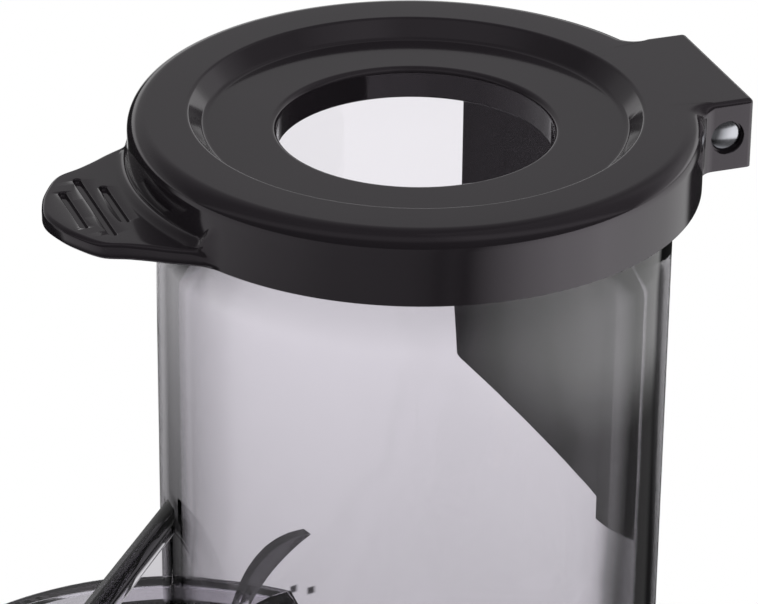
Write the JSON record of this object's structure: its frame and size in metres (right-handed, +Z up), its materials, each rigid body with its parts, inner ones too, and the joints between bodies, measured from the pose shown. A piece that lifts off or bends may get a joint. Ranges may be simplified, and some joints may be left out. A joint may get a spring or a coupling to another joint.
{
  "type": "cold press juicer",
  "caption": "Vertical cold press juicer with a motor base, juicing bowl with auger, strainer and wiper, clear cover with an offset feed tube and a hinged ring lid.",
  "frame": {"origin": "on the auger's axis, on the surface the feet stand on", "axes": "+Z up along the auger, -Y toward the user, the thumb tab and the juice spout, +Y toward the lid's hinge, +X toward the selector knob"},
  "size_m": [0.1883, 0.1944, 0.4668],
  "materials": {
    "base_shell": "gloss black moulding",
    "dark_plastic": "satin black moulding",
    "lid_plastic": "polished black moulding",
    "clear_plastic": "clear copolyester with a faint smoke tint",
    "rubber": "black rubber",
    "silicone": "dark grey silicone",
    "steel": "stainless steel",
    "bright_pin": "polished steel",
    "auger_plastic": "glass-filled black plastic",
    "frame_plastic": "black plastic",
    "gear_steel": "sintered steel",
    "gear_nylon": "natural nylon",
    "zinc_case": "die-cast case",
    "stator_iron": "laminated iron",
    "copper": "enamelled copper",
    "bearing_bronze": "sintered bronze",
    "graphite": "carbon",
    "board": "circuit board"
  },
  "bodies": {
    "base": {"base_housing": "base_shell", "bottom_plate": "dark_plastic", "rubber_feet": "rubber", "base_screws": "steel", "cord_gland": "rubber", "rotary_switch": "dark_plastic", "control_board": "board", "motor_stator": "stator_iron", "field_coils": "copper", "motor_end_bell": "zinc_case", "motor_bearings": "bearing_bronze", "carbon_brushes": "graphite", "gearbox_case": "zinc_case", "gearbox_cover": "zinc_case", "gear_axles": "bright_pin", "output_bearing": "bearing_bronze", "deck_seal": "silicone"},
    "rotor": {"motor_rotor": "gear_steel", "motor_fan": "gear_nylon"},
    "first_gear": {"first_gear": "gear_nylon"},
    "second_gear": {"second_gear": "gear_steel"},
    "output": {"output_gear": "gear_steel", "drive_shaft": "steel"},
    "knob": {"selector_knob": "lid_plastic"},
    "bowl": {"juicing_bowl": "clear_plastic", "shaft_lip_seal": "silicone", "strainer_frame": "frame_plastic", "strainer_mesh": "steel"},
    "auger": {"auger": "auger_plastic"},
    "transfer_gear": {"transfer_gear": "gear_nylon"},
    "wiper": {"wiper_frame": "frame_plastic", "wiper_blades": "silicone"},
    "juice_cap": {"juice_cap": "lid_plastic", "cap_seal": "silicone", "cap_pin": "steel"},
    "cover": {"cover": "clear_plastic", "cover_bush": "bearing_bronze"},
    "lid": {"chute_lid": "lid_plastic", "lid_guard": "lid_plastic", "hinge_pin": "bright_pin"}
  },
  "joints": [
    {"name": "lid_hinge", "type": "hinge", "parent": "cover", "child": "lid", "pos_m": [0, 0.0928, 0.4604], "axis": [-1, 0, 0], "range_deg": [0, 105]},
    {"name": "cover_turn", "type": "hinge", "parent": "bowl", "child": "cover", "pos_m": [0, 0, 0.32], "axis": [0, 0, 1], "range_deg": [0, 25]},
    {"name": "bowl_lift", "type": "slide", "parent": "base", "child": "bowl", "axis": [0, 0, 1], "range_m": [0, 0.06]},
    {"name": "cap_hinge", "type": "hinge", "parent": "bowl", "child": "juice_cap", "pos_m": [0, -0.086, 0.252], "axis": [-1, 0, 0], "range_deg": [0, 100]},
    {"name": "knob_turn", "type": "hinge", "parent": "base", "child": "knob", "pos_m": [0.077, 0.012, 0.12], "axis": [1, 0, 0], "range_deg": [-45, 45]},
    {"name": "rotor_spin", "type": "hinge", "parent": "base", "child": "rotor", "pos_m": [0, 0, 0.09], "axis": [0, 0, 1], "continuous": true},
    {"name": "first_gear_spin", "type": "hinge", "parent": "base", "child": "first_gear", "pos_m": [-0.00925, 0.02215, 0.15], "axis": [0, 0, 1], "continuous": true},
    {"name": "second_gear_spin", "type": "hinge", "parent": "base", "child": "second_gear", "pos_m": [0.013, 0.03114, 0.16], "axis": [0, 0, 1], "continuous": true},
    {"name": "output_spin", "type": "hinge", "parent": "base", "child": "output", "pos_m": [0, 0, 0.2], "axis": [0, 0, 1], "continuous": true},
    {"name": "auger_spin", "type": "hinge", "parent": "bowl", "child": "auger", "pos_m": [0, 0, 0.29], "axis": [0, 0, 1], "continuous": true},
    {"name": "transfer_spin", "type": "hinge", "parent": "bowl", "child": "transfer_gear", "pos_m": [0.027, 0, 0.232], "axis": [0, 0, 1], "continuous": true},
    {"name": "wiper_spin", "type": "hinge", "parent": "bowl", "child": "wiper", "pos_m": [0, 0, 0.27], "axis": [0, 0, 1], "continuous": true}
  ],
  "couplings": [
    {"joint": "first_gear_spin", "follows": "rotor_spin", "ratio": -0.2},
    {"joint": "second_gear_spin", "follows": "rotor_spin", "ratio": 0.066667},
    {"joint": "output_spin", "follows": "rotor_spin", "ratio": -0.019048},
    {"joint": "auger_spin", "follows": "rotor_spin", "ratio": -0.019048},
    {"joint": "transfer_spin", "follows": "rotor_spin", "ratio": 0.038095},
    {"joint": "wiper_spin", "follows": "rotor_spin", "ratio": 0.0095238}
  ]
}
